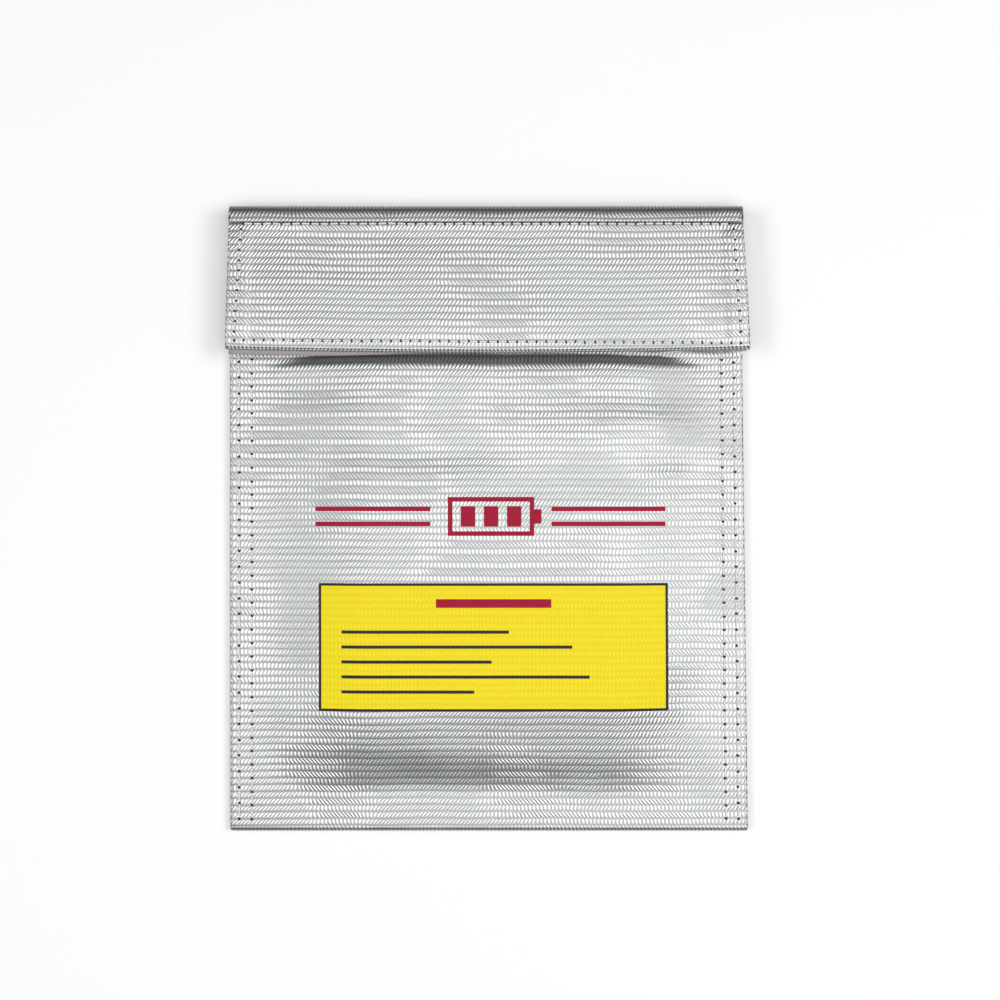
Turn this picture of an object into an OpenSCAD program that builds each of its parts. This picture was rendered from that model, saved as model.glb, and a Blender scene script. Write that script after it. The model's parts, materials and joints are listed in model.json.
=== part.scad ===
// Fire-resistant pouch for a lithium battery pack, lying on its back.
// Coated cloth outside, fibreglass lining inside, sewn sides, a folded bottom,
// and a flap at the +Y end that closes over the mouth with hook-and-loop tape.
// X runs across the bag, Y from the bottom fold to the top fold, Z up from the table.

/* [Bag] */
// Width across the side seams
bag_width = 180; // [176:1:240]
// Length from the bottom fold to the top fold
bag_length = 218; // [200:1:300]
// Height of the space inside the pouch
pouch_gap = 6; // [5:0.5:10]
// Width of each side seam
seam_width = 9; // [8.5:0.5:12]

/* [Cloth] */
// Thickness of the coated outer cloth
cloth = 0.7; // [0.5:0.1:1]
// Thickness of the lining cloth
lining = 0.5; // [0.3:0.1:0.8]
// Diameter of the sewing thread
thread = 0.5; // [0.3:0.05:0.6]

/* [Flap] */
// Length of the flap, from the top fold to its front edge
flap_drop = 51; // [50:1:80]
// Width of the turned-under hem
hem_width = 7.5; // [5:0.5:9]

/* [Hook-and-loop tape] */
// Length of each tape
tape_length = 144; // [100:1:144]
// Width of each tape
tape_width = 20; // [15:1:20]
// Thickness of each tape
tape = 1.2; // [1:0.1:2]

/* [Print] */
// Width of the printed panel
panel_width = 121.5; // [98:0.5:121.5]
// Height of the printed panel
panel_height = 44.6; // [41:0.1:60]
// Width of the line round the printed panel
border = 0.9; // [0.5:0.1:2]

/* [Hidden] */
$fn = 48;

// Heights of the layers, from the table up
pouch_floor_z = cloth + lining;
seam_z = 3 * cloth;                            // underside of the front panel on a seam
front_z = pouch_floor_z + pouch_gap + lining;  // underside of the front panel on its flat top
loop_z = front_z + cloth;
tape_clearance = 0.2;                          // between the two closed tapes
hook_z = loop_z + tape + tape_clearance;
flap_lining_z = hook_z + tape;
flap_z = flap_lining_z + lining;
flap_top_z = flap_z + cloth;

// Places along the length
half_width = bag_width / 2;
half_length = bag_length / 2;
fold_radius = flap_top_z / 2;                  // the flap turns about the middle of this fold
fold_start_y = half_length - fold_radius;
bottom_radius = (seam_z + cloth) / 2;
bottom_y = bottom_radius - half_length;
slope_gap = 1;                                 // from the mouth slope to the loop tape
belly_gap = 2;                                 // from the belly slope to under the flap's front edge
mouth_setback = 8;                             // from the fold's start to the front panel's free edge
mouth_y = fold_start_y - mouth_setback;
mouth_hem_width = 12;
mouth_row_inset = 2;
flap_front_y = half_length - flap_drop;
flap_gap = 0.2;                                // between the flap and the piece it folds from
flap_back_y = fold_start_y - flap_gap;
tape_setback = 3;                              // from the flap's front hem to the tapes
tape_y = flap_front_y + hem_width + tape_setback + tape_width / 2;  // middle of both tapes

// The front panel rises from its seams to a flat top. The slope beside each seam is long
// across the belly. It gets short under the flap, where the tape holds the panel flat.
seam_x = half_width - seam_width;
belly_slope = 41;
mouth_slope = seam_x - tape_length / 2;
mouth_start_y = tape_y - tape_width / 2 - slope_gap;      // short slope from here to the mouth
belly_end_y = flap_front_y - belly_gap;                // long slope from here to the bottom
bottom_flat = 8;
bottom_slope = 41;

function smooth(t) = let (s = min(1, max(0, t))) s * s * (3 - 2 * s);
function side_slope(y) = belly_slope
    + (mouth_slope - belly_slope) * smooth((y - belly_end_y) / (mouth_start_y - belly_end_y));
front_under = function (x, y) seam_z + (front_z - seam_z)
    * smooth((seam_x - abs(x)) / side_slope(y))
    * smooth((y - bottom_y - bottom_flat) / bottom_slope);
front_top = function (x, y) front_under(x, y) + cloth;
front_lining_under = function (x, y) front_under(x, y) - lining;
mouth_hem_under = function (x, y) front_lining_under(x, y) - cloth;

function steps(from, to, count) = [for (i = [0 : count]) from + (to - from) * i / count];
slope_x = steps(seam_x - belly_slope, seam_x, 14);
inner_x = concat([for (i = [len(slope_x) - 1 : -1 : 0]) -slope_x[i]], slope_x);
panel_x = concat([-half_width], inner_x, [half_width]);
panel_y = concat(
    [bottom_y],
    steps(bottom_y + bottom_flat, bottom_y + bottom_flat + bottom_slope, 8),
    steps(belly_end_y, mouth_start_y, 10),
    [mouth_y]
);

// The flap's lining steps up inside the turned hems to meet the outer cloth.
hem_step = 1.5;
flap_lining_under = function (x, y) flap_lining_z - cloth
    * (1 - smooth((half_width - hem_width - abs(x)) / hem_step)
         * smooth((y - flap_front_y - hem_width) / hem_step));
hem_x = steps(half_width - hem_width - hem_step, half_width - hem_width, 3);
flap_x = concat([-half_width], [for (i = [3 : -1 : 0]) -hem_x[i]], hem_x, [half_width]);
flap_y = concat([flap_front_y],
    steps(flap_front_y + hem_width, flap_front_y + hem_width + hem_step, 3), [flap_back_y]);

// Sewing. A row's inset is its distance from the edge that it follows.
outer_row_inset = 3.2;
inner_row_inset = 7.6;
outer_row_x = half_width - outer_row_inset;
inner_row_x = half_width - inner_row_inset;
seam_pitch = 5.4;
inner_pitch = 4.7;
flap_pitch = 3.3;
flap_row_inset = 3.2;
flap_front_inset = 4.1;
tape_pitch = 3;
tape_row_inset = 2;
thread_share = 0.76;                           // how much of the pitch one stitch covers
row_margin = 3;                                // from the bottom fold to the first side stitch
row_end = 1;                                   // from the last stitch to a free edge
fold_row_inset = 0.5;                          // from the flap's fold to its top row
corner_gap = 2;                                // leaves the bobbin rows' corners clear
groove = thread + 0.1;
seat = 0.01;                                   // a groove's stitches stay this far below its rim
hook_seat = 0.05;
ink = 0.1;

// Print, measured from the middle of the bag
panel_centre = [1.9, -44.2];
mark_centre = [1, 1.3];
mark_width = 122;
mark_height = 13.5;
mark_line = 1.6;
battery_width = 30;
terminal_width = 2.5;
terminal_height = 5;
cell_width = 5;
cell_pitch = 8;
rule_length = 40;
rule_inset = 20;                               // from the mark's end to the middle of a rule
rule_offset = 2.6;
heading_width = 40;
heading_height = 3;
heading_drop = 7;                              // from the panel's top edge
bars_left = 8;                                 // from the panel's left edge
bars_drop = 17.5;                              // from the panel's top edge to the first bar
text_bars = [58, 80, 52, 86, 46];              // lengths of the bars that stand for lines of text
bar_height = 1.1;
bar_pitch = 5.2;

// Closed solid that stands on the surface under(x, y), over the grid of xs and ys.
module sheet(xs, ys, under, thickness) {
    columns = len(xs);
    rows = len(ys);
    layer = columns * rows;
    low = [for (y = ys) for (x = xs) [x, y, under(x, y)]];
    high = [for (p = low) p + [0, 0, thickness]];
    function quad(a, b, c, d) = [[a, b, c], [a, c, d]];
    function at(i, j) = j * columns + i;
    top = [for (j = [0 : rows - 2]) for (i = [0 : columns - 2])
        for (f = quad(at(i, j), at(i, j + 1), at(i + 1, j + 1), at(i + 1, j))) f];
    ends = [for (i = [0 : columns - 2])
        for (f = concat(
            quad(at(i, 0), at(i, 0) + layer, at(i + 1, 0) + layer, at(i + 1, 0)),
            quad(at(i + 1, rows - 1), at(i + 1, rows - 1) + layer,
                 at(i, rows - 1) + layer, at(i, rows - 1)))) f];
    sides = [for (j = [0 : rows - 2])
        for (f = concat(
            quad(at(0, j + 1), at(0, j + 1) + layer, at(0, j) + layer, at(0, j)),
            quad(at(columns - 1, j), at(columns - 1, j) + layer,
                 at(columns - 1, j + 1) + layer, at(columns - 1, j + 1)))) f];
    polyhedron(
        points = concat(low, high),
        faces = concat([for (f = top) f + [layer, layer, layer]],
                       [for (f = top) [f[2], f[1], f[0]]], ends, sides)
    );
}

// Flat strip from one corner to the opposite one
module slab(from, to) {
    translate(from) cube(to - from);
}

// Half tube along X, open towards -Y or +Y
module half_tube(centre_y, centre_z, outer, inner, side) {
    translate([0, centre_y, centre_z])
    rotate([0, 90, 0])
    difference() {
        cylinder(h = bag_width, r = outer, center = true);
        cylinder(h = bag_width + 2, r = inner, center = true);
        translate([-outer - 1, side > 0 ? -outer - 1 : 0, -half_width - 1])
        cube([2 * outer + 2, outer + 1, bag_width + 2]);
    }
}

// Row of straight stitches lying on height z, along X or along Y
module row_along_x(from, to, y, z, pitch, d = thread) {
    count = floor((to - from) / pitch);
    start = (from + to - count * pitch) / 2;
    for (i = [0 : count - 1])
        translate([start + (i + 0.5) * pitch, y, z + d / 2])
        rotate([0, 90, 0])
        cylinder(h = pitch * thread_share, r = d / 2, center = true, $fn = 16);
}

module row_along_y(from, to, x, z, pitch, d = thread) {
    count = floor((to - from) / pitch);
    start = (from + to - count * pitch) / 2;
    for (i = [0 : count - 1])
        translate([x, start + (i + 0.5) * pitch, z + d / 2])
        rotate([90, 0, 0])
        cylinder(h = pitch * thread_share, r = d / 2, center = true, $fn = 16);
}

// Rectangle of stitches just inside a tape's edge
module tape_rows(z) {
    row_x = tape_length / 2 - tape_row_inset;
    row_y = tape_width / 2 - tape_row_inset;
    for (side = [-1, 1]) {
        row_along_x(-row_x, row_x, tape_y + side * row_y, z, tape_pitch);
        row_along_y(tape_y - row_y + thread, tape_y + row_y - thread, side * row_x, z, tape_pitch);
    }
}

// Rectangular groove, as wide as the thread, that a tape's stitches sink into
module tape_groove(z) {
    row_x = tape_length / 2 - tape_row_inset;
    row_y = tape_width / 2 - tape_row_inset;
    translate([0, tape_y, z])
    linear_extrude(groove)
    difference() {
        square([2 * row_x + groove, 2 * row_y + groove], center = true);
        square([2 * row_x - groove, 2 * row_y - groove], center = true);
    }
}

module tape_body(z) {
    slab([-tape_length / 2, tape_y - tape_width / 2, z],
         [tape_length / 2, tape_y + tape_width / 2, z + tape]);
}

// Ink film on the front panel, in the outline of its children
module printed(level = 0) {
    intersection() {
        sheet(panel_x, panel_y, function (x, y) front_top(x, y) + level * ink, ink);
        linear_extrude(flap_top_z) children();
    }
}

module back_panel() {
    color("silver")
    difference() {
        slab([-half_width, bottom_y, 0], [half_width, fold_start_y, cloth]);
        for (x = [-outer_row_x, -inner_row_x, inner_row_x, outer_row_x])
            slab([x - groove / 2, bottom_y + row_margin, -1], [x + groove / 2, mouth_y, thread]);
    }
}

module front_panel() {
    color("silver") sheet(panel_x, panel_y, front_under, cloth);
}

module bottom_fold() {
    color("silver") half_tube(bottom_y, bottom_radius, bottom_radius, bottom_radius - cloth, -1);
}

module back_lining() {
    color("lightgray") slab([-seam_x, bottom_y, cloth], [seam_x, fold_start_y, pouch_floor_z]);
}

module front_lining() {
    color("lightgray") sheet(inner_x, panel_y, front_lining_under, lining);
}

module side_hem(side) {
    color("darkgray")
    slab([side > 0 ? seam_x : -half_width, bottom_y, cloth],
         [side > 0 ? half_width : -seam_x, mouth_y, seam_z]);
}

module mouth_hem() {
    color("silver")
    intersection() {
        sheet(inner_x, panel_y, mouth_hem_under, cloth);
        slab([-tape_length / 2, mouth_y - mouth_hem_width, 0],
             [tape_length / 2, mouth_y, front_z]);
    }
}

module mouth_stitches() {
    color("white")
    row_along_x(-tape_length / 2, tape_length / 2, mouth_y - mouth_row_inset,
                loop_z, flap_pitch);
}

module seam_stitches(x, pitch) {
    color("white")
    row_along_y(bottom_y + row_margin, mouth_y - row_end, x, seam_z + cloth, pitch);
}

module back_stitches(side) {
    color("white") {
        row_along_y(bottom_y + row_margin, mouth_y - row_end, side * outer_row_x, 0, seam_pitch);
        row_along_y(bottom_y + row_margin, mouth_y - row_end, side * inner_row_x, 0, inner_pitch);
    }
}

module loop_tape() {
    color("gainsboro")
    difference() {
        tape_body(loop_z);
        tape_groove(loop_z + tape - groove + seat);
    }
}

module loop_tape_stitches() {
    color("white") tape_rows(loop_z + tape - groove + seat);
}

module print_field() {
    color("gold")
    printed() translate(panel_centre)
    square([panel_width - 2 * border, panel_height - 2 * border], center = true);
}

module print_border() {
    color("black")
    printed() translate(panel_centre)
    difference() {
        square([panel_width, panel_height], center = true);
        square([panel_width - 2 * border, panel_height - 2 * border], center = true);
    }
}

module print_heading() {
    color("crimson")
    printed(1) translate(panel_centre + [0, panel_height / 2 - heading_drop])
    square([heading_width, heading_height], center = true);
}

module print_lines() {
    color("black")
    printed(1)
    for (i = [0 : len(text_bars) - 1])
        translate(panel_centre
                  + [bars_left - panel_width / 2, panel_height / 2 - bars_drop - i * bar_pitch])
        square([text_bars[i], bar_height]);
}

// A plain battery symbol between two pairs of rules
module print_mark() {
    color("crimson")
    printed() translate(mark_centre) {
        difference() {
            square([battery_width, mark_height], center = true);
            square([battery_width - 2 * mark_line, mark_height - 2 * mark_line], center = true);
        }
        translate([battery_width / 2, -terminal_height / 2])
        square([terminal_width, terminal_height]);
        for (i = [-1 : 1])
            translate([i * cell_pitch, 0])
            square([cell_width, mark_height - 4 * mark_line], center = true);
        for (side = [-1, 1], row = [-1, 1])
            translate([side * (mark_width / 2 - rule_inset), row * rule_offset])
            square([rule_length, mark_line], center = true);
    }
}

module top_fold() {
    color("silver") half_tube(fold_start_y, fold_radius, fold_radius, fold_radius - cloth, 1);
}

module top_fold_lining() {
    color("lightgray")
    intersection() {
        half_tube(fold_start_y, fold_radius, fold_radius - cloth, fold_radius - cloth - lining, 1);
        slab([-seam_x, 0, 0], [seam_x, half_length, flap_top_z]);
    }
}

module flap_outer() {
    color("silver")
    slab([-half_width, flap_front_y, flap_z], [half_width, flap_back_y, flap_top_z]);
}

module flap_lining() {
    color("rosybrown") sheet(flap_x, flap_y, flap_lining_under, lining);
}

module flap_side_hem(side) {
    color("silver")
    slab([side > 0 ? half_width - hem_width : -half_width, flap_front_y + hem_width, flap_z - cloth],
         [side > 0 ? half_width : hem_width - half_width, flap_back_y, flap_z]);
}

module flap_front_hem() {
    color("silver")
    slab([-half_width, flap_front_y, flap_z - cloth], [half_width, flap_front_y + hem_width, flap_z]);
}

module flap_top_stitches() {
    color("white")
    row_along_x(-half_width + flap_row_inset, half_width - flap_row_inset,
                flap_back_y - fold_row_inset, flap_top_z, flap_pitch);
}

module flap_side_stitches(side) {
    color("white")
    row_along_y(flap_front_y + flap_front_inset, flap_back_y - row_end,
                side * (half_width - flap_row_inset), flap_top_z, flap_pitch);
}

module flap_front_stitches() {
    color("white")
    row_along_x(-half_width + flap_row_inset, half_width - flap_row_inset,
                flap_front_y + flap_front_inset, flap_top_z, flap_pitch);
}

// The bobbin thread under the flap, along its two sides and its front edge
module flap_back_stitches() {
    under_z = flap_lining_z - cloth - thread;
    color("white") {
        row_along_x(-half_width + flap_row_inset + corner_gap,
                    half_width - flap_row_inset - corner_gap,
                    flap_front_y + flap_front_inset, under_z, flap_pitch);
        for (side = [-1, 1])
            row_along_y(flap_front_y + flap_front_inset, flap_back_y - row_end,
                        side * (half_width - flap_row_inset), under_z, flap_pitch);
    }
}

module hook_tape() {
    color("dimgray")
    difference() {
        tape_body(hook_z);
        tape_groove(hook_z - seat);
    }
}

module hook_tape_stitches() {
    color("white") tape_rows(hook_z + hook_seat);
}

back_panel();
front_panel();
bottom_fold();
back_lining();
front_lining();
side_hem(-1);  // left_side_hem
side_hem(1);  // right_side_hem
mouth_hem();
mouth_stitches();
seam_stitches(-outer_row_x, seam_pitch);  // left_outer_stitches
seam_stitches(-inner_row_x, inner_pitch);  // left_inner_stitches
seam_stitches(outer_row_x, seam_pitch);  // right_outer_stitches
seam_stitches(inner_row_x, inner_pitch);  // right_inner_stitches
back_stitches(-1);  // left_back_stitches
back_stitches(1);  // right_back_stitches
loop_tape();
loop_tape_stitches();
print_field();
print_border();
print_heading();
print_lines();
print_mark();
top_fold();
top_fold_lining();
flap_outer();
flap_lining();
flap_side_hem(-1);  // flap_left_hem
flap_side_hem(1);  // flap_right_hem
flap_front_hem();
flap_top_stitches();
flap_side_stitches(-1);  // flap_left_stitches
flap_side_stitches(1);  // flap_right_stitches
flap_front_stitches();
flap_back_stitches();
hook_tape();
hook_tape_stitches();
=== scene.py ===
"""Fire-resistant battery pouch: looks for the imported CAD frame, in metres."""

import json
import math

import bpy
import numpy as np
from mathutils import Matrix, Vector, noise
from mathutils.bvhtree import BVHTree


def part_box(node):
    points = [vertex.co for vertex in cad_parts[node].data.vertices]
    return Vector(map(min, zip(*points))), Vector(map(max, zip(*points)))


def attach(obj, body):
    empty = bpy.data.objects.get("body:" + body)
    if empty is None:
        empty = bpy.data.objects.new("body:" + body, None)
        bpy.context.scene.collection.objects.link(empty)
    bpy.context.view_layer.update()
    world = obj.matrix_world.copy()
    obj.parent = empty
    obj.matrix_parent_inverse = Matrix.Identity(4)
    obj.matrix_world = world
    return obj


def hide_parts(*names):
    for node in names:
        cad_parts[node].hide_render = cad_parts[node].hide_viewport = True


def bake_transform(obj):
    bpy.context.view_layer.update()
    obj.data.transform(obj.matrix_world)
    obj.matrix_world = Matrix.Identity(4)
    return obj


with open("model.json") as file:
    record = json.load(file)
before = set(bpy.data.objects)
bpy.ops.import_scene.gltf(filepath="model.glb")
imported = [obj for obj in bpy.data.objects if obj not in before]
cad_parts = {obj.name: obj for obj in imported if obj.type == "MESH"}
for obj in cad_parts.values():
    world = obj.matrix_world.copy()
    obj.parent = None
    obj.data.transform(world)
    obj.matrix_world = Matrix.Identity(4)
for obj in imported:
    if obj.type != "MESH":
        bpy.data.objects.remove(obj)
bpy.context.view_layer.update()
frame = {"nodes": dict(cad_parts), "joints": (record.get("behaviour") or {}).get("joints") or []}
MM = 0.001

# Places that the CAD settles
front_low, front_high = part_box("front_panel")
fold_start_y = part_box("back_panel")[1].y
flap_low, flap_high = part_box("flap_outer")
loop_low, loop_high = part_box("loop_tape")
hook_low, hook_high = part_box("hook_tape")
half_width = front_high.x
cloth = flap_high.z - flap_low.z
bottom_y = front_low.y
mouth_y = front_high.y
hinge_z = frame["joints"][0]["pos_m"][2]
seam_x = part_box("back_lining")[1].x
seam_mid_z = front_low.z + cloth / 2
fold_centre_z = (front_low.z + cloth) / 2
flap_mid_z = flap_high.z - cloth / 2
hem_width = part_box("flap_front_hem")[1].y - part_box("flap_front_hem")[0].y
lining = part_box("back_lining")[1].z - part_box("back_lining")[0].z


def smooth(t):
    t = np.clip(t, 0, 1)
    return t * t * (3 - 2 * t)


# ---------------------------------------------------------------- materials
class Nodes:
    """Short calls for building a node material."""

    def __init__(self, name):
        self.material = bpy.data.materials.new(name)
        self.material.use_nodes = True
        self.tree = self.material.node_tree
        self.shader = self.tree.nodes["Principled BSDF"]

    def put(self, socket, value):
        if isinstance(value, bpy.types.NodeSocket):
            self.tree.links.new(value, socket)
        else:
            socket.default_value = value

    def math(self, operation, a, b=0.0, clamp=False):
        node = self.tree.nodes.new("ShaderNodeMath")
        node.operation = operation
        node.use_clamp = clamp
        self.put(node.inputs[0], a)
        self.put(node.inputs[1], b)
        return node.outputs[0]

    def place(self):
        """Where a point is on its cloth, in millimetres: across, along, and both as a vector."""
        node = self.tree.nodes.new("ShaderNodeAttribute")
        node.attribute_name = "cloth"
        split = self.tree.nodes.new("ShaderNodeSeparateXYZ")
        self.tree.links.new(node.outputs["Vector"], split.inputs[0])
        return split.outputs[0], split.outputs[1], node.outputs["Vector"]

    def dark(self):
        """How much painted shade darkens the cloth's colour, from 0 to 1."""
        node = self.tree.nodes.new("ShaderNodeAttribute")
        node.attribute_name = "dark"
        return node.outputs["Fac"]

    def noise(self, vector, scale, detail=2.0, roughness=0.5):
        node = self.tree.nodes.new("ShaderNodeTexNoise")
        node.inputs["Scale"].default_value = scale
        node.inputs["Detail"].default_value = detail
        node.inputs["Roughness"].default_value = roughness
        self.tree.links.new(vector, node.inputs["Vector"])
        return node.outputs[0]

    def mix(self, factor, a, b):
        node = self.tree.nodes.new("ShaderNodeMix")
        node.data_type = "RGBA"
        self.put(node.inputs[0], factor)
        self.put(node.inputs[6], a)
        self.put(node.inputs[7], b)
        return node.outputs[2]

    def scale(self, value, low, high):
        node = self.tree.nodes.new("ShaderNodeMapRange")
        self.put(node.inputs[0], value)
        node.inputs[3].default_value = low
        node.inputs[4].default_value = high
        return node.outputs[0]

    def bump(self, height, distance, strength=1.0):
        node = self.tree.nodes.new("ShaderNodeBump")
        node.inputs["Strength"].default_value = strength
        node.inputs["Distance"].default_value = distance
        self.tree.links.new(height, node.inputs["Height"])
        self.tree.links.new(node.outputs[0], self.shader.inputs["Normal"])


# The weave, in mm: from float to float across, from one pair of rows to the next along, and
# how far a row wanders off straight
WEAVE_COLUMN = 1.32
WEAVE_PERIOD = 4.75
WEAVE_WANDER = 1.3
# How suddenly the floats' slant turns over from one patch of cloth to the next
SLANT_GAIN = 14.0
# Each row of floats: its middle, half its height, its own slant, how far the slant wanders, its relief
WEAVE_ROWS = [(1.17, 1.16, 0.1, 0.75, 1.0), (3.54, 1.1, -0.35, 0.45, 0.88)]


def weave_height(n):
    """Relief of the ribbed weave, from 0 in a gap to 1 on a float."""
    across, along, place = n.place()
    wander = n.math("MULTIPLY", n.math("SUBTRACT", n.noise(place, 0.03), 0.5), WEAVE_WANDER)
    tilt = n.math("MULTIPLY", n.math("SUBTRACT", n.noise(place, 0.022, 1.0), 0.5), SLANT_GAIN)
    tilt = n.math("MINIMUM", n.math("MAXIMUM", tilt, -1.0), 1.0)
    line = n.math("ADD", along, wander)
    row_place = n.math("FLOORED_MODULO", line, WEAVE_PERIOD)
    height = None
    for middle, half, slant, wandering, relief in WEAVE_ROWS:
        off = n.math("SUBTRACT", row_place, middle)
        share = n.math("DIVIDE", off, half)
        row = n.math("SUBTRACT", 1.0, n.math("MULTIPLY", share, share), clamp=True)
        lean = n.math("MULTIPLY", off, n.math("ADD", n.math("MULTIPLY", tilt, wandering), slant))
        turn = n.math("MULTIPLY", n.math("ADD", across, lean), 2 * math.pi / WEAVE_COLUMN)
        float_shape = n.math("MULTIPLY_ADD", n.math("COSINE", turn), 0.5)
        # math() fills two inputs, and the third is what a multiply-add adds
        float_shape.node.inputs[2].default_value = 0.5
        float_shape = n.math("POWER", float_shape, 1.15)
        one = n.math("MULTIPLY", n.math("MULTIPLY", row, float_shape), relief)
        height = one if height is None else n.math("MAXIMUM", height, one)
    return height, place


def silver_cloth(name):
    n = Nodes(name)
    height, place = weave_height(n)
    wear = n.noise(place, 0.05, 4.0, 0.6)
    # Painted shade: the weave's gaps are painted dark grey and its floats light silver
    weave_with_painted_gap_shade = n.mix(height, (0.28, 0.287, 0.285, 1), (0.8, 0.815, 0.808, 1))
    # Random wear tone, times the painted shade along the fold's crest
    wear_and_painted_shade = n.math("MULTIPLY", n.scale(wear, 0.86, 1.06), n.math("SUBTRACT", 1.0, n.dark()))
    shade = n.tree.nodes.new("ShaderNodeVectorMath")
    shade.operation = "SCALE"
    n.tree.links.new(weave_with_painted_gap_shade, shade.inputs[0])
    n.tree.links.new(wear_and_painted_shade, shade.inputs["Scale"])
    n.tree.links.new(shade.outputs[0], n.shader.inputs["Base Color"])
    n.shader.inputs["Metallic"].default_value = 0.82
    n.put(n.shader.inputs["Roughness"], n.scale(wear, 0.3, 0.42))
    n.bump(height, 0.16 * MM, 0.8)
    return n.material


def printed_ink(name, colour, gloss=0.42):
    """Ink that fills the weave, with a little of its relief left: painted shade darkens it in the weave's
    gaps, and patches vary its tone at random.
    """
    n = Nodes(name)
    height, place = weave_height(n)
    patch = n.noise(place, 0.3, 3.0)
    # Painted shade: the ink is painted darker in the weave's gaps; the patches vary its tone at random
    dark = tuple(c * 0.78 for c in colour) + (1,)
    amount = n.math("ADD", n.math("MULTIPLY", height, 0.8), n.math("MULTIPLY", patch, 0.3), clamp=True)
    n.put(n.shader.inputs["Base Color"], n.mix(amount, dark, colour + (1,)))
    n.put(n.shader.inputs["Roughness"], n.scale(patch, gloss, gloss + 0.15))
    n.bump(height, 0.07 * MM, 0.7)
    n.shader.inputs["Specular IOR Level"].default_value = 0.25
    return n.material


def plain_weave(name, light, dark, pitch, depth):
    """Plain over-and-under weave of matt yarn, painted darker in the weave's hollows as painted shade, with
    random fuzz in its tone.
    """
    n = Nodes(name)
    across, along, place = n.place()
    turn = 2 * math.pi / pitch
    warp = n.math("SINE", n.math("MULTIPLY", across, turn))
    weft = n.math("SINE", n.math("MULTIPLY", along, turn))
    height = n.scale(n.math("MULTIPLY", warp, weft), 0.0, 1.0)
    height.node.inputs[1].default_value = -1.0
    fuzz = n.noise(place, 1.2, 4.0)
    # Painted shade: the yarn is painted darker in the weave's hollows; the fuzz varies its tone at random
    amount = n.math("MULTIPLY_ADD", height, 0.7)
    n.put(amount.node.inputs[2], n.math("MULTIPLY", fuzz, 0.3))
    n.put(n.shader.inputs["Base Color"], n.mix(amount, dark + (1,), light + (1,)))
    n.put(n.shader.inputs["Roughness"], n.scale(fuzz, 0.7, 0.9))
    n.bump(height, depth * MM)
    return n.material


YARN_TWIST = 0.9  # length of one turn of the yarn, in mm


def yarn(name, light, dark, roughness):
    """Twisted thread, or fibres, shaded along their own length."""
    n = Nodes(name)
    across, along, place = n.place()
    turn = n.math("MULTIPLY", n.math("ADD", along, n.math("MULTIPLY", across, 0.6)), 2 * math.pi / YARN_TWIST)
    ply = n.scale(n.math("SINE", turn), 0.0, 1.0)
    ply.node.inputs[1].default_value = -1.0
    n.put(n.shader.inputs["Base Color"], n.mix(ply, dark + (1,), light + (1,)))
    n.put(n.shader.inputs["Roughness"], n.scale(n.noise(place, 2.0), roughness - 0.08, roughness + 0.08))
    n.bump(ply, 0.05 * MM, 0.6)
    return n.material


SILVER = silver_cloth("silver_cloth")
YELLOW = printed_ink("yellow_ink", (1.0, 0.80, 0.0))
CRIMSON = printed_ink("crimson_ink", (0.40, 0.0, 0.03), 0.55)
BLACK = printed_ink("black_ink", (0.012, 0.012, 0.013))
LINING = plain_weave("lining_cloth", (0.50, 0.46, 0.43), (0.24, 0.21, 0.195), 0.9, 0.1)
THREAD = yarn("thread", (0.95, 0.95, 0.93), (0.6, 0.6, 0.59), 0.45)
LOOPS = yarn("loop_pile", (0.42, 0.42, 0.43), (0.22, 0.22, 0.23), 0.8)
HOOKS = yarn("hook_nylon", (0.36, 0.36, 0.37), (0.25, 0.25, 0.26), 0.4)
TAPE = plain_weave("tape_ground", (0.34, 0.34, 0.35), (0.16, 0.16, 0.17), 0.7, 0.08)
# Near-black painted shade for the needle holes
NEEDLE_HOLE_SHADE = yarn("needle_hole", (0.02, 0.02, 0.02), (0.008, 0.008, 0.008), 0.8)


# ---------------------------------------------------------------- mesh helpers
# How far each side edge stands out from straight, along the bag: places and offsets
BODY_Y = np.array([-0.109, 0.058, 0.103])
FLAP_Y = np.array([0.058, 0.103])
LEFT_BODY = np.array([-0.4, -0.5, 0.5]) * MM
RIGHT_BODY = np.array([1.0, -1.0, -2.0]) * MM
LEFT_FLAP = np.array([-1.0, 0.5]) * MM
RIGHT_FLAP = np.array([0.7, -2.0]) * MM


def settle(points, body):
    """Moves points across by the bag's slight irregularities, more towards the sides.

    The two folds are made without a body and follow the pouch's sides.
    """
    points = np.array(points, float)
    x, y = points[:, 0], points[:, 1]
    share = np.abs(x) / half_width
    if body == "flap":
        left, right = np.interp(y, FLAP_Y, LEFT_FLAP), np.interp(y, FLAP_Y, RIGHT_FLAP)
    else:
        left, right = np.interp(y, BODY_Y, LEFT_BODY), np.interp(y, BODY_Y, RIGHT_BODY)
    points[:, 0] = x + share**2 * np.where(x < 0, left, right)
    return points


def add_mesh(name, points, faces, places, material, body=None, dark=None):
    mesh = bpy.data.meshes.new(name)
    points = settle(points, body)
    mesh.from_pydata(points.tolist(), [], [tuple(int(i) for i in f) for f in faces])
    attribute = mesh.attributes.new("cloth", "FLOAT_VECTOR", "POINT")
    attribute.data.foreach_set("vector", np.asarray(places, np.float32).ravel())
    mesh.materials.append(material)
    # The dark attribute is painted shade, which darkens the silver's colour
    if dark is not None:
        mesh.attributes.new("dark", "FLOAT", "POINT").data.foreach_set("value", np.asarray(dark, np.float32))
    mesh.polygons.foreach_set("use_smooth", [True] * len(mesh.polygons))
    mesh.update()
    obj = bpy.data.objects.new(name, mesh)
    bpy.context.scene.collection.objects.link(obj)
    if body:
        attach(obj, body)
    return obj


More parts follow.
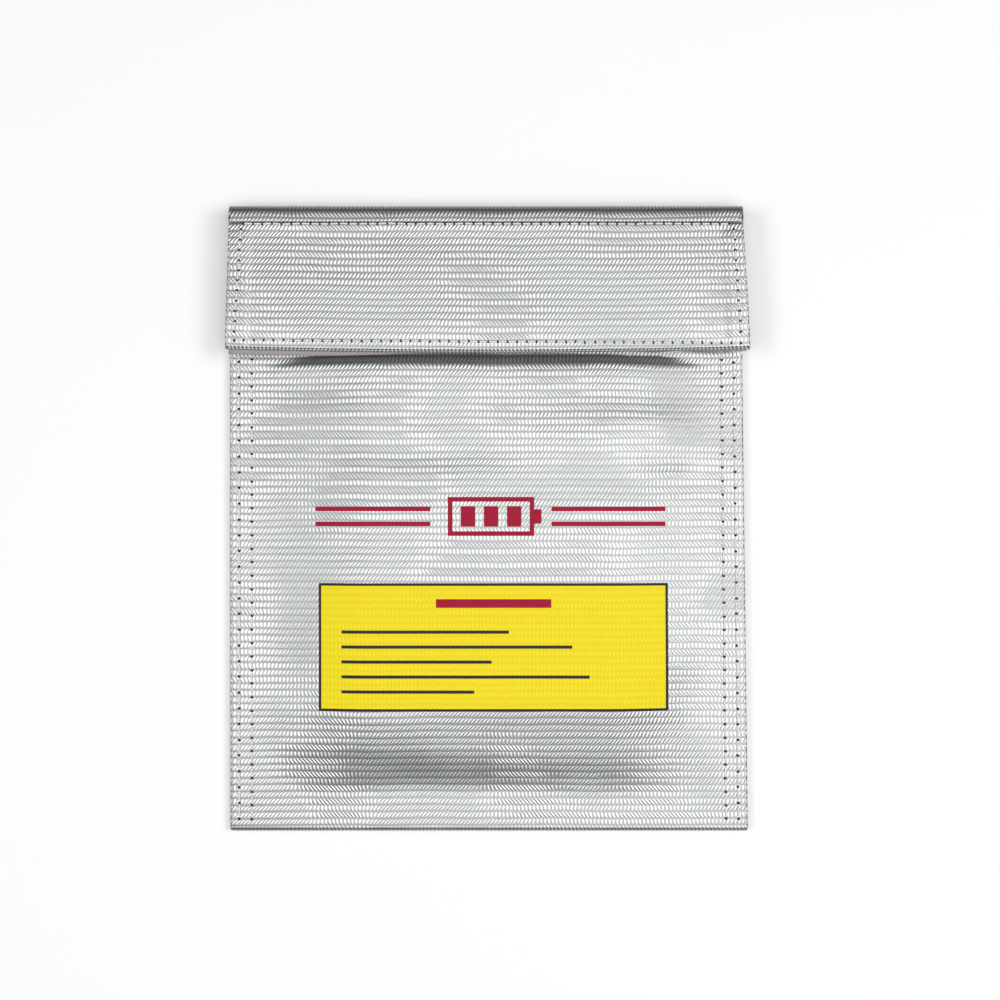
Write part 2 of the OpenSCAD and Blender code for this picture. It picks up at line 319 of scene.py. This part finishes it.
def grid_quads(rows, columns, start=0):
    i = np.arange(rows - 1)[:, None] * columns + np.arange(columns - 1)[None, :] + start
    return np.stack([i, i + 1, i + columns + 1, i + columns], -1).reshape(-1, 4)


def normals(grid):
    across = np.gradient(grid, axis=1)
    along = np.gradient(grid, axis=0)
    n = np.cross(across, along)
    return n / np.maximum(np.linalg.norm(n, axis=-1, keepdims=True), 1e-12)


def shell(name, grid, place, thickness, material, body=None, dark=None):
    """Closed sheet of an even thickness about a grid of points on its middle surface."""
    if dark is not None:
        dark = np.concatenate([dark(grid).ravel()] * 2)
    rows, columns = grid.shape[:2]
    count = rows * columns
    offset = normals(grid) * thickness / 2
    points = np.concatenate([(grid + offset).reshape(-1, 3), (grid - offset).reshape(-1, 3)])
    outer = grid_quads(rows, columns)
    inner = grid_quads(rows, columns, count)[:, ::-1]
    index = np.arange(count).reshape(rows, columns)
    rim = np.concatenate([index[0, :], index[1:, -1], index[-1, -2::-1], index[-2:0:-1, 0]])
    after = np.roll(rim, -1)
    edge = np.stack([rim, rim + count, after + count, after], -1)
    places = np.concatenate([place.reshape(-1, 2)] * 2)
    places = np.concatenate([places, np.zeros((len(places), 1))], axis=1)
    return add_mesh(name, points, np.concatenate([outer, inner, edge]), places, material, body, dark)


def tube(path, radius, sides):
    """Points, faces and places of a tube along a short path."""
    path = np.asarray(path, float)
    along = np.gradient(path, axis=0)
    along /= np.linalg.norm(along, axis=1, keepdims=True)
    side = np.cross(along, (0.0, 0.0, 1.0))
    weak = np.linalg.norm(side, axis=1) < 1e-3
    side[weak] = np.cross(along[weak], (1.0, 0.0, 0.0))
    side /= np.linalg.norm(side, axis=1, keepdims=True)
    up = np.cross(side, along)
    turn = np.linspace(0, 2 * math.pi, sides, endpoint=False)
    ring = side[:, None] * np.cos(turn)[None, :, None] + up[:, None] * np.sin(turn)[None, :, None]
    points = (path[:, None] + ring * radius).reshape(-1, 3)
    count = len(path)
    faces = [
        (r * sides + k, r * sides + (k + 1) % sides, (r + 1) * sides + (k + 1) % sides, (r + 1) * sides + k)
        for r in range(count - 1)
        for k in range(sides)
    ]
    faces.append(tuple(range(sides))[::-1])
    faces.append(tuple((count - 1) * sides + k for k in range(sides)))
    length = np.concatenate([[0], np.cumsum(np.linalg.norm(np.diff(path, axis=0), axis=1))]) / MM
    place = np.stack(
        [np.tile(turn / math.pi, count), np.repeat(length, sides), np.zeros(count * sides)], -1
    )
    return points, faces, place


def add_tubes(name, paths, radius, material, body, sides=6):
    points, faces, places, start = [], [], [], 0
    for path in paths:
        p, f, q = tube(path, radius, sides)
        points.append(p)
        places.append(q)
        faces += [tuple(i + start for i in face) for face in f]
        start += len(p)
    return add_mesh(name, np.concatenate(points), faces, np.concatenate(places), material, body)


# ---------------------------------------------------------------- surfaces
front_mesh = frame["nodes"]["front_panel"].data
front_tree = BVHTree.FromPolygons(
    [v.co.copy() for v in front_mesh.vertices], [tuple(p.vertices) for p in front_mesh.polygons]
)
RAY_INSET = 0.0002  # rays are cast this far inside the panel's edges, so that they hit it
WAVE_HEIGHT = 0.55 * MM
# The front cloth dips under the flap's front edge, and the dip runs out before the side edges
DIP_Y = flap_low.y + 0.3 * MM
DIP_DEPTH = 2.6 * MM
DIP_WIDTH = 2.7 * MM
DIP_INSET = 2 * MM
DIP_EASE = 10 * MM
DIP_SHARE = 0.75  # the most of the cloth's rise that the dip may take
# Waves and billows die out towards the seams, the bottom fold and the tape
SEAM_EASE = 14 * MM
TAPE_EASE = 12 * MM

# Soft billows of the front cloth: middle across and along, reach across and along, height, in mm
BILLOWS = [
    (-62, 36, 20, 6, 0.5),
    (-30, 24, 34, 5, -0.35),
    (58, 32, 26, 7, 0.6),
    (66, 14, 22, 5, -0.55),
    (20, 2, 40, 6, 0.3),
    (-66, -8, 16, 6, -0.4),
    (70, -28, 16, 8, 0.4),
    (-8, -82.5, 62, 6.5, 0.65),
    (5, -96, 50, 4, -0.2),
    (-58, -88, 24, 4, 0.25),
]


def billow(x, y):
    """Height of the listed billows."""
    total = 0.0
    for middle_x, middle_y, reach_x, reach_y, height in BILLOWS:
        across = (x / MM - middle_x) / reach_x
        along = (y / MM - middle_y + 0.05 * (x / MM - middle_x)) / reach_y
        total += height * MM * math.exp(-across * across - along * along)
    return total


def wave(x, y):
    """Gentle hand-made undulation of soft cloth, from -1 to 1, longer across than along."""
    return noise.noise(Vector((x / 0.085, y / 0.026, 3.7))) + 0.4 * noise.noise(
        Vector((x / 0.03, y / 0.011, 9.1))
    )


def cad_front(x, y):
    """Height of the CAD front panel's top."""
    inside_x = min(max(x, -half_width + RAY_INSET), half_width - RAY_INSET)
    inside_y = min(max(y, bottom_y + RAY_INSET), mouth_y - RAY_INSET)
    hit = front_tree.ray_cast(Vector((inside_x, inside_y, 0.1)), Vector((0, 0, -1)))[0]
    return hit.z


def front_lift(x, y):
    """How far the front cloth's middle stands above its seam level."""
    dip = DIP_DEPTH * math.exp(-(((y - DIP_Y) / DIP_WIDTH) ** 2)) * float(
        smooth((half_width - DIP_INSET - abs(x)) / DIP_EASE)
    )
    free = smooth((seam_x - abs(x)) / SEAM_EASE)
    free *= smooth((y - bottom_y - 3 * MM) / SEAM_EASE)
    free *= smooth((loop_low.y - 4 * MM - y) / TAPE_EASE)
    lift = cad_front(x, y) - cloth / 2 - seam_mid_z
    return lift + float(free) * (WAVE_HEIGHT * wave(x, y) + billow(x, y)) - min(dip, DIP_SHARE * lift)


def front_top(x, y):
    return seam_mid_z + front_lift(x, y) + cloth / 2


# Painted shade along the top fold's crest: how much it darkens the silver, and how far past the fold's start
# it begins and comes in
CREST_PAINTED_SHADE = 0.5
CREST_START = 3.2 * MM
CREST_EASE = 1.2 * MM


def fold_crest_painted_shade(grid):
    """Painted shade: the silver is painted darker along the top fold's crest."""
    return CREST_PAINTED_SHADE * smooth((grid[..., 1] - fold_start_y - CREST_START) / CREST_EASE)


FLAP_BOW = 1.2 * MM
FLAP_CORNER_RISE = 1.4 * MM
FLAP_DROOP = 0.9 * MM
FLAP_SAG = 0.25 * MM
FLAP_RIPPLE = 0.16 * MM
FLAP_HEM_RIDGE = 0.45 * MM


def flap_edge_y(x):
    """The flap's front edge bows out between its corners."""
    return flap_low.y + FLAP_CORNER_RISE - FLAP_BOW * (1 - (x / half_width) ** 2)


def flap_mid(x, y):
    """Middle height of the flap's cloth: it sags past the tape, most of all at its corners.

    It ripples, and stands up a little over the turned side hems.
    """
    past = smooth((hook_low.y - y) / (hook_low.y - flap_low.y))
    corner = smooth((abs(x) - hook_high.x) / (half_width - hook_high.x))
    ripple = FLAP_RIPPLE * (wave(x + 0.4, y) - 0.7)
    held = smooth((flap_high.y - y) / (6 * MM))
    hem_ridge = FLAP_HEM_RIDGE * smooth((abs(x) - half_width + hem_width) / (0.9 * MM) + 0.5)
    return flap_mid_z - FLAP_DROOP * past * corner - FLAP_SAG * past + (ripple + hem_ridge) * held


# ---------------------------------------------------------------- pouch cloth, one folded sheet
turn_radius = cloth / 2
turn_x = half_width - 2 * turn_radius
turn_steps = 5
across_steps = 150
leg = np.linspace(seam_x, turn_x, 6)[:-1]
arc = np.linspace(-math.pi / 2, math.pi / 2, turn_steps + 2)
side_x = np.concatenate([leg, turn_x + turn_radius * np.cos(arc)])
side_r = np.concatenate([np.full(len(leg), turn_radius), 2 * turn_radius + turn_radius * np.sin(arc)])
main_x = np.linspace(-turn_x, turn_x, across_steps + 1)[1:-1]
column_x = np.concatenate([-side_x, main_x, side_x[::-1]])
column_r = np.concatenate([side_r, np.full(len(main_x), 3 * turn_radius), side_r[::-1]])
column_main = column_r > 2 * turn_radius
column_length = np.concatenate([[0], np.cumsum(np.hypot(np.diff(column_x), np.diff(column_r)))])
column_place = column_length - column_length[-1] / 2

back_y = np.linspace(fold_start_y, bottom_y, 60)
front_y = np.linspace(bottom_y, mouth_y, 170)
fold_turn = np.linspace(-math.pi / 2, math.pi / 2, 13)[1:-1]

path_rows = []
path_place = []
for y in back_y:
    path_rows.append([(x, y, fold_centre_z - r) for x, r in zip(column_x, column_r)])
    path_place.append(y - 2 * bottom_y)
for t in fold_turn:
    path_rows.append(
        [(x, bottom_y - r * math.cos(t), fold_centre_z + r * math.sin(t)) for x, r in zip(column_x, column_r)]
    )
    path_place.append(-bottom_y - 3 * turn_radius * (t + math.pi / 2))
for y in front_y:
    path_rows.append(
        [
            (x, y, fold_centre_z + r + (front_lift(x, y) if main else 0.0))
            for x, r, main in zip(column_x, column_r, column_main)
        ]
    )
    path_place.append(-y)
pouch_grid = np.array(path_rows)[::-1]
pouch_place = np.zeros(pouch_grid.shape[:2] + (2,))
pouch_place[..., 0] = column_place[None, :] / MM
pouch_place[..., 1] = -np.array(path_place)[::-1][:, None] / MM
pouch_cloth = shell("pouch_cloth", pouch_grid[::-1], pouch_place[::-1], cloth, SILVER, "pouch")
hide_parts("front_panel", "back_panel", "bottom_fold", "left_side_hem", "right_side_hem")

# ---------------------------------------------------------------- flap cloth
flap_rows = []
flap_places = []
steps_y = np.linspace(0, 1, 60)
for t in steps_y:
    row = []
    for x, r in zip(column_x, column_r):
        y = flap_high.y + (flap_edge_y(x) + turn_radius - flap_high.y) * t
        row.append((x, y, flap_mid(x, y) - (3 * turn_radius - r)))
    flap_rows.append(row)
    flap_places.append([(c / MM, (flap_high.y + (flap_low.y - flap_high.y) * t) / MM) for c in column_place])
flap_cloth = shell(
    "flap_cloth", np.array(flap_rows)[::-1], np.array(flap_places)[::-1], cloth, SILVER, "flap"
)
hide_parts("flap_outer", "flap_left_hem", "flap_right_hem")

turn_rows = []
turn_places = []
front_x = np.linspace(-half_width + 0.2 * MM, half_width - 0.2 * MM, 150)
for t in np.linspace(math.pi / 2, -math.pi / 2, 9):
    turn_rows.append(
        [
            (
                x,
                flap_edge_y(x) + turn_radius - turn_radius * math.cos(t),
                flap_mid(x, flap_edge_y(x)) - turn_radius + turn_radius * math.sin(t),
            )
            for x in front_x
        ]
    )
    turn_places.append([(x / MM, flap_low.y / MM - (math.pi / 2 - t) * turn_radius / MM) for x in front_x])
for s in np.linspace(MM, hem_width, 8):
    turn_rows.append(
        [
            (x, flap_edge_y(x) + turn_radius + s, flap_mid(x, flap_edge_y(x) + s) - 2 * turn_radius)
            for x in front_x
        ]
    )
    turn_places.append([(x / MM, (flap_low.y - s) / MM) for x in front_x])
flap_turn = shell(
    "flap_front_turn", np.array(turn_rows)[::-1], np.array(turn_places)[::-1], cloth, SILVER, "flap"
)
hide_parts("flap_front_hem")


# ---------------------------------------------------------------- folds between the bodies
FOLD_SQUARENESS = 3.2
FOLD_STEPS = 48


def fold_outline(radius):
    """Even steps round the fold, flatter at its two ends than a half circle, and their length."""
    turn = np.linspace(-math.pi / 2, math.pi / 2, 2001)
    out = radius * np.abs(np.cos(turn)) ** (2 / FOLD_SQUARENESS)
    up = radius * np.sign(turn) * np.abs(np.sin(turn)) ** (2 / FOLD_SQUARENESS)
    length = np.concatenate([[0], np.cumsum(np.hypot(np.diff(out), np.diff(up)))])
    steps = np.linspace(0, length[-1], FOLD_STEPS)
    return np.interp(steps, length, out), np.interp(steps, length, up), steps


def fold(name, radius, width, thickness, material):
    """A fold between the bodies, not attached to either, and how long its cloth is when flat."""
    out, up, steps = fold_outline(radius)
    xs = np.linspace(-width, width, 140)
    grid = np.array(
        [
            [(x, fold_start_y + a * (1 + 0.02 * wave(x, 1.0)), hinge_z + b) for x in xs]
            for a, b in zip(out, up)
        ]
    )
    place = np.array([[(x / MM, (fold_start_y + steps[-1] - s) / MM) for x in xs] for s in steps])
    # The fold's crest gets painted shade in the silver's colour
    obj = shell(name, grid[::-1], place[::-1], thickness, material, dark=fold_crest_painted_shade)
    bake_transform(obj)
    return obj, float(steps[-1])


fold_cloth, fold_length = fold("fold_cloth", hinge_z - cloth / 2, half_width, cloth, SILVER)
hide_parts("top_fold")
fold_lining, fold_lining_length = fold("fold_lining", hinge_z - cloth - lining / 2, seam_x, lining, LINING)
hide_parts("top_fold_lining")


# ---------------------------------------------------------------- linings and mouth hem
def height_sheet(name, xs, ys, height, thickness, material, body):
    grid = np.array([[(x, y, height(x, y)) for x in xs] for y in ys])
    return shell(name, grid, grid[..., :2] / MM, thickness, material, body)


lining_x = np.linspace(-seam_x, seam_x, 120)
front_lining = height_sheet(
    "front_lining_cloth",
    lining_x,
    np.linspace(bottom_y, mouth_y, 110),
    lambda x, y: front_top(x, y) - cloth - lining / 2,
    lining,
    LINING,
    "pouch",
)
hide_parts("front_lining")
back_lining = height_sheet(
    "back_lining_cloth",
    lining_x,
    np.linspace(bottom_y, fold_start_y, 110),
    lambda x, y: cloth + lining / 2 + 0.05 * MM * wave(x, y),
    lining,
    LINING,
    "pouch",
)
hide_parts("back_lining")
hem_low, hem_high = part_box("mouth_hem")
mouth_hem = height_sheet(
    "mouth_hem_cloth",
    np.linspace(hem_low.x, hem_high.x, 110),
    np.linspace(hem_low.y, hem_high.y, 12),
    lambda x, y: front_top(x, y) - cloth - lining - cloth / 2,
    cloth,
    SILVER,
    "pouch",
)
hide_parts("mouth_hem")


def lining_edge_y(x):
    """The flap's lining shows past its front edge, most of all on the left."""
    left = 2.7 * MM * smooth((0.018 - x) / 0.085)
    right = 1.5 * MM * smooth((x - 0.066) / 0.01)
    return flap_edge_y(x) - left - right + 0.8 * MM


flap_lining_rows = []
for t in np.linspace(0, 1, 36):
    flap_lining_rows.append(
        [
            (x, lining_edge_y(x) + (flap_high.y - lining_edge_y(x)) * t)
            for x in np.linspace(-half_width + 1.2 * MM, half_width - 1.2 * MM, 130)
        ]
    )


def flap_lining_height(x, y):
    inside = smooth((half_width - hem_width - abs(x)) / (1.5 * MM))
    inside *= smooth((y - flap_edge_y(x) - turn_radius - hem_width - 0.4 * MM) / (1.5 * MM))
    return flap_mid(x, max(y, flap_edge_y(x))) - cloth / 2 - cloth * (1 - inside) - lining / 2


lining_grid = np.array([[(x, y, flap_lining_height(x, y)) for x, y in row] for row in flap_lining_rows])
flap_lining = shell("flap_lining_cloth", lining_grid, lining_grid[..., :2] / MM, lining, LINING, "flap")
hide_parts("flap_lining")


# ---------------------------------------------------------------- stitches and needle holes
thread_radius = 0.34 * MM
BOBBIN_Z = 0.0003
HOLE_SIDES = 8
# A needle hole's two rings, from outside in, and its middle: radius, and height over the cloth. The holes are
# near-black discs of painted shade.
HOLE_RINGS = [(0.56 * MM, 0.03 * MM), (0.34 * MM, 0.05 * MM)]
HOLE_MIDDLE = 0.01 * MM


def stitch(a, b, height, up=1):
    """Thread from hole a to hole b: it dips at both ends and lies on the cloth between."""
    a, b = np.array(a), np.array(b)
    path = []
    for t in np.linspace(0, 1, 9):
        x, y = a + (b - a) * t
        lift = thread_radius * (1.9 * math.sin(math.pi * t) ** 0.5 - 1.2)
        path.append((x, y, height(x, y) + up * lift))
    return path


def sew(name, start, end, pitch, height, body, node, up=1, seed=1, slant=0.0):
    """A row of stitches from start to end, and near-black discs of painted shade at the needle holes between
    them.
    """
    start, end = np.array(start), np.array(end)
    run = end - start
    length = float(np.linalg.norm(run))
    count = int(length / pitch)
    along = run / length
    side = np.array([-along[1], along[0]])
    rng = np.random.default_rng(seed)
    jitter = rng.normal(0, 0.08 * MM, (count + 1, 2))
    holes = [start + run * k / count + side * jitter[k, 0] + along * jitter[k, 1] for k in range(count + 1)]
    paths = [
        stitch(a + along * 0.25 * MM - side * slant, b - along * 0.25 * MM + side * slant, height, up)
        for a, b in zip(holes[:-1], holes[1:])
    ]
    thread = add_tubes(name, paths, thread_radius, THREAD, body)
    if node:
        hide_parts(*([node] if isinstance(node, str) else node))
    points, faces, places = [], [], []
    turn = np.linspace(0, 2 * math.pi, HOLE_SIDES + 1)[:-1]
    for x, y in holes:
        base = len(points)
        for radius, lift in HOLE_RINGS:
            for t in turn:
                px, py = x + radius * math.cos(t), y + radius * math.sin(t)
                points.append((px, py, height(px, py) + up * lift))
                places.append((px / MM, py / MM, 0))
        points.append((x, y, height(x, y) + up * HOLE_MIDDLE))
        places.append((x / MM, y / MM, 0))
        inner = base + HOLE_SIDES
        for k in range(HOLE_SIDES):
            j = (k + 1) % HOLE_SIDES
            faces.append((base + k, base + j, inner + j, inner + k)[::up])
            faces.append((inner + k, inner + j, inner + HOLE_SIDES)[::up])
    # Near-black discs of painted shade at the needle holes
    add_mesh(name + "_holes", points, faces, places, NEEDLE_HOLE_SHADE, body)
    return thread


def flap_top(x, y):
    return flap_mid(x, y) + cloth / 2


row_low = bottom_y + 3 * MM
row_high = mouth_y - 1 * MM
for side, word in ((-1, "left"), (1, "right")):
    for kind, pitch in (("outer", 5.4), ("inner", 4.7)):
        node = f"{word}_{kind}_stitches"
        low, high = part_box(node)
        x = (low.x + high.x) / 2
        sew(f"{word}_{kind}_thread", (x, row_high), (x, row_low), pitch * MM, front_top, "pouch", node,
            seed=11 + side, slant=0.12 * MM if kind == "inner" else 0.0)
        back_node = f"{word}_back_stitches" if kind == "outer" else None
        sew(f"{word}_{kind}_bobbin", (x, row_high), (x, row_low), pitch * MM, lambda x, y: BOBBIN_Z, "pouch",
            back_node, up=-1, seed=21 + side)

flap_row_y = (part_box("flap_front_stitches")[0].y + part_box("flap_front_stitches")[1].y) / 2
flap_row_x = (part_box("flap_right_stitches")[0].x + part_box("flap_right_stitches")[1].x) / 2
flap_top_y = (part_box("flap_top_stitches")[0].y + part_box("flap_top_stitches")[1].y) / 2
flap_pitch = 3.3 * MM
sew("flap_front_thread", (-flap_row_x, flap_row_y), (flap_row_x, flap_row_y - 0.9 * MM), flap_pitch, flap_top,
    "flap", "flap_front_stitches", seed=31)
sew("flap_top_thread", (-flap_row_x + 2 * MM, flap_top_y), (flap_row_x - 2 * MM, flap_top_y), flap_pitch,
    flap_top, "flap", "flap_top_stitches", seed=32)
sew("flap_left_thread", (-flap_row_x + 1.2 * MM, flap_top_y - 2 * MM), (-flap_row_x, flap_row_y + 3 * MM),
    flap_pitch, flap_top, "flap", "flap_left_stitches", seed=33)
sew("flap_right_thread", (flap_row_x - 0.5 * MM, flap_top_y - 2 * MM), (flap_row_x, flap_row_y + 3 * MM),
    flap_pitch, flap_top, "flap", "flap_right_stitches", seed=34)


def flap_under(x, y):
    return flap_lining_height(x, y) - lining / 2


sew("flap_under_thread", (-flap_row_x + 2 * MM, flap_row_y), (flap_row_x - 2 * MM, flap_row_y), flap_pitch,
    flap_under, "flap", "flap_back_stitches", up=-1, seed=35)
for side, word in ((-1, "left"), (1, "right")):
    row_x = side * flap_row_x
    sew(f"flap_under_{word}_thread", (row_x, flap_high.y - MM), (row_x, flap_row_y + 3 * MM), flap_pitch,
        flap_under, "flap", None, up=-1, seed=36 + side)
mouth_row_y = (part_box("mouth_stitches")[0].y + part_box("mouth_stitches")[1].y) / 2
sew("mouth_thread", (hem_low.x + MM, mouth_row_y), (hem_high.x - MM, mouth_row_y), flap_pitch, front_top,
    "pouch", "mouth_stitches", seed=38)

# Two loose thread ends at the flap's front edge: place across in metres, drop and lean in mm
loose = []
for x, drop, lean in ((0.0478, 3.4, 1.1), (0.0885, 2.2, 1.6)):
    start_y = flap_edge_y(x) + 1.2 * MM
    start_z = flap_top(x, flap_edge_y(x))
    loose.append(
        [
            (x + lean * MM * t * t, start_y - drop * MM * t, start_z - 1.0 * MM * t)
            for t in np.linspace(0, 1, 10)
        ]
    )
add_tubes("loose_thread_ends", loose, 0.07 * MM, THREAD, "flap")


# ---------------------------------------------------------------- print, laid on the cloth
INK_LIFT = 0.05 * MM
INK_CELL = 1.1 * MM


def ink(name, rectangles, material, node, level):
    """Rectangles of ink that follow the front cloth, one or two levels above it."""
    points, faces, places = [], [], []
    for x0, x1, y0, y1 in rectangles:
        xs = np.linspace(x0, x1, max(2, int((x1 - x0) / INK_CELL) + 1))
        ys = np.linspace(y0, y1, max(2, int((y1 - y0) / INK_CELL) + 1))
        faces += (grid_quads(len(ys), len(xs)) + len(points)).tolist()
        for y in ys:
            for x in xs:
                points.append((x, y, front_top(x, y) + INK_LIFT * level))
                places.append((x / MM, y / MM, 0))
    obj = add_mesh(name, points, faces, places, material, "pouch")
    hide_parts(node)
    return obj


def rect(cx, cy, width, height):
    return (cx - width / 2, cx + width / 2, cy - height / 2, cy + height / 2)


border_low, border_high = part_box("print_border")
field_low, field_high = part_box("print_field")
ink("print_yellow_field", [(field_low.x, field_high.x, field_low.y, field_high.y)], YELLOW, "print_field", 1)
ink(
    "print_black_border",
    [
        (border_low.x, border_high.x, border_low.y, field_low.y),
        (border_low.x, border_high.x, field_high.y, border_high.y),
        (border_low.x, field_low.x, field_low.y, field_high.y),
        (field_high.x, border_high.x, field_low.y, field_high.y),
    ],
    BLACK, "print_border", 1,
)
head_low, head_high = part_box("print_heading")
ink("print_red_bar", [(head_low.x, head_high.x, head_low.y, head_high.y)], CRIMSON, "print_heading", 2)

# The bars and the symbol repeat part.scad's own lengths, placed by the boxes of their nodes
BAR_LENGTHS = [58, 80, 52, 86, 46]
lines_low, lines_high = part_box("print_lines")
bar_height = 1.1 * MM
bar_pitch = (lines_high.y - lines_low.y - bar_height) / (len(BAR_LENGTHS) - 1)
ink(
    "print_dark_bars",
    [
        (
            lines_low.x,
            lines_low.x + length * MM,
            lines_high.y - bar_height - k * bar_pitch,
            lines_high.y - k * bar_pitch,
        )
        for k, length in enumerate(BAR_LENGTHS)
    ],
    BLACK, "print_lines", 2,
)
mark_low, mark_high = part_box("print_mark")
mark_x = (mark_low.x + mark_high.x) / 2
mark_y = (mark_low.y + mark_high.y) / 2
line = 1.6 * MM
battery = 30 * MM
terminal_width = 2.5 * MM
terminal_height = 5 * MM
cell_pitch = 8 * MM
cell_width = 5 * MM
rule_x = 41 * MM
rule_y = 2.6 * MM
rule_length = 40 * MM
mark_height = mark_high.y - mark_low.y
mark_parts = [
    rect(mark_x, mark_y + mark_height / 2 - line / 2, battery, line),
    rect(mark_x, mark_y - mark_height / 2 + line / 2, battery, line),
    rect(mark_x - battery / 2 + line / 2, mark_y, line, mark_height - 2 * line),
    rect(mark_x + battery / 2 - line / 2, mark_y, line, mark_height - 2 * line),
    rect(mark_x + battery / 2 + terminal_width / 2, mark_y, terminal_width, terminal_height),
]
for k in (-1, 0, 1):
    mark_parts.append(rect(mark_x + k * cell_pitch, mark_y, cell_width, mark_height - 4 * line))
for side in (-1, 1):
    for row in (-1, 1):
        mark_parts.append(rect(mark_x + side * rule_x, mark_y + row * rule_y, rule_length, line))
ink("print_battery_symbol", mark_parts, CRIMSON, "print_mark", 1)

# ---------------------------------------------------------------- hook-and-loop tapes
ground = 0.4 * MM
PILE_MARGIN = 3 * MM
PILE_STEP = 1.5 * MM
LOOP_RADIUS = 0.62 * MM
tape_x = np.linspace(loop_low.x, loop_high.x, 100)
tape_y = np.linspace(loop_low.y, loop_high.y, 16)
loop_ground = height_sheet(
    "loop_tape_ground", tape_x, tape_y, lambda x, y: loop_low.z + ground / 2, ground, TAPE, "pouch"
)
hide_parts("loop_tape")
hook_ground = height_sheet(
    "hook_tape_ground", tape_x, tape_y, lambda x, y: hook_high.z - ground / 2, ground, TAPE, "flap"
)
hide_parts("hook_tape")

rng = np.random.default_rng(5)
loops = []
for x in np.arange(loop_low.x + PILE_MARGIN, loop_high.x - PILE_MARGIN, PILE_STEP):
    for y in np.arange(loop_low.y + PILE_MARGIN, loop_high.y - PILE_MARGIN, PILE_STEP):
        turn, lean = rng.uniform(0, math.pi), rng.normal(0, 0.2 * MM)
        cx, cy = x + rng.normal(0, 0.25 * MM), y + rng.normal(0, 0.25 * MM)
        loops.append(
            [
                (
                    cx + LOOP_RADIUS * math.cos(t) * math.cos(turn) + lean * math.sin(t),
                    cy + LOOP_RADIUS * math.cos(t) * math.sin(turn),
                    loop_low.z + ground + LOOP_RADIUS * math.sin(t),
                )
                for t in np.linspace(0, math.pi, 6)
            ]
        )
add_tubes("loop_tape_pile", loops, 0.07 * MM, LOOPS, "pouch", 4)

hooks = []
for k, x in enumerate(np.arange(hook_low.x + PILE_MARGIN, hook_high.x - PILE_MARGIN, PILE_STEP)):
    for y in np.arange(hook_low.y + PILE_MARGIN, hook_high.y - PILE_MARGIN, PILE_STEP):
        bend = 1 if k % 2 else -1
        base = hook_high.z - ground
        hooks.append(
            [
                (x, y, base + 0.05 * MM),
                (x, y, base - 0.35 * MM),
                (x, y + bend * 0.12 * MM, base - 0.6 * MM),
                (x, y + bend * 0.35 * MM, base - 0.68 * MM),
                (x, y + bend * 0.5 * MM, base - 0.5 * MM),
            ]
        )
add_tubes("hook_tape_hooks", hooks, 0.1 * MM, HOOKS, "flap", 4)


def tape_frame(prefix, z, body, node, up, seed):
    """Four rows of stitches just inside a tape's edge."""
    inset = 1.6 * MM
    x0, x1 = loop_low.x + inset, loop_high.x - inset
    y0, y1 = loop_low.y + inset, loop_high.y - inset
    runs = [((x0, y0), (x1, y0)), ((x0, y1), (x1, y1)), ((x0, y0), (x0, y1)), ((x1, y0), (x1, y1))]
    for k, (a, b) in enumerate(runs):
        first = node if k == 0 else None
        sew(f"{prefix}_thread_{k}", a, b, 3 * MM, lambda x, y: z, body, first, up=up, seed=seed + k)


tape_frame("loop_tape", loop_low.z + ground, "pouch", "loop_tape_stitches", 1, 50)
tape_frame("hook_tape", hook_high.z - ground, "flap", "hook_tape_stitches", -1, 60)

# ---------------------------------------------------------------- floor, light and camera
floor_mesh = bpy.data.meshes.new("floor")
floor_mesh.from_pydata([(-3, -3, 0), (3, -3, 0), (3, 3, 0), (-3, 3, 0)], [], [(0, 1, 2, 3)])
floor = bpy.data.objects.new("floor", floor_mesh)
floor.location.z = -0.0006  # clear of the stitches under the back
bpy.context.scene.collection.objects.link(floor)
floor_paint = bpy.data.materials.new("pale_floor")
floor_paint.use_nodes = True
floor_paint.node_tree.nodes["Principled BSDF"].inputs["Base Color"].default_value = (0.97, 0.97, 0.97, 1)
floor_paint.node_tree.nodes["Principled BSDF"].inputs["Roughness"].default_value = 0.9
floor_mesh.materials.append(floor_paint)


def softbox(name, place, target, size, power):
    data = bpy.data.lights.new(name, "AREA")
    data.shape = "RECTANGLE"
    data.size, data.size_y = size
    data.energy = power
    lamp = bpy.data.objects.new(name, data)
    lamp.location = place
    lamp.rotation_euler = (Vector(target) - Vector(place)).to_track_quat("-Z", "Y").to_euler()
    bpy.context.scene.collection.objects.link(lamp)


softbox("overhead", (0.12, -0.16, 1.3), (0, -0.02, 0), (0.9, 1.1), 9.2)
softbox("left_fill", (-0.9, 0.0, 1.15), (0, 0, 0), (0.8, 0.5), 5.4)
softbox("right_fill", (0.9, 0.1, 1.15), (0, 0, 0), (0.8, 0.5), 6.2)

world = bpy.data.worlds.new("studio")
bpy.context.scene.world = world
world.use_nodes = True
world.node_tree.nodes["Background"].inputs[0].default_value = (0.9, 0.92, 0.95, 1)
world.node_tree.nodes["Background"].inputs[1].default_value = 0.2

camera_data = bpy.data.cameras.new("camera")
camera_data.sensor_width = 36
camera_data.lens = 61.4
camera = bpy.data.objects.new("camera", camera_data)
camera.location = (0.0041, 0.007, 0.6)
bpy.context.scene.collection.objects.link(camera)
bpy.context.scene.camera = camera
bpy.context.scene.view_settings.view_transform = "Standard"
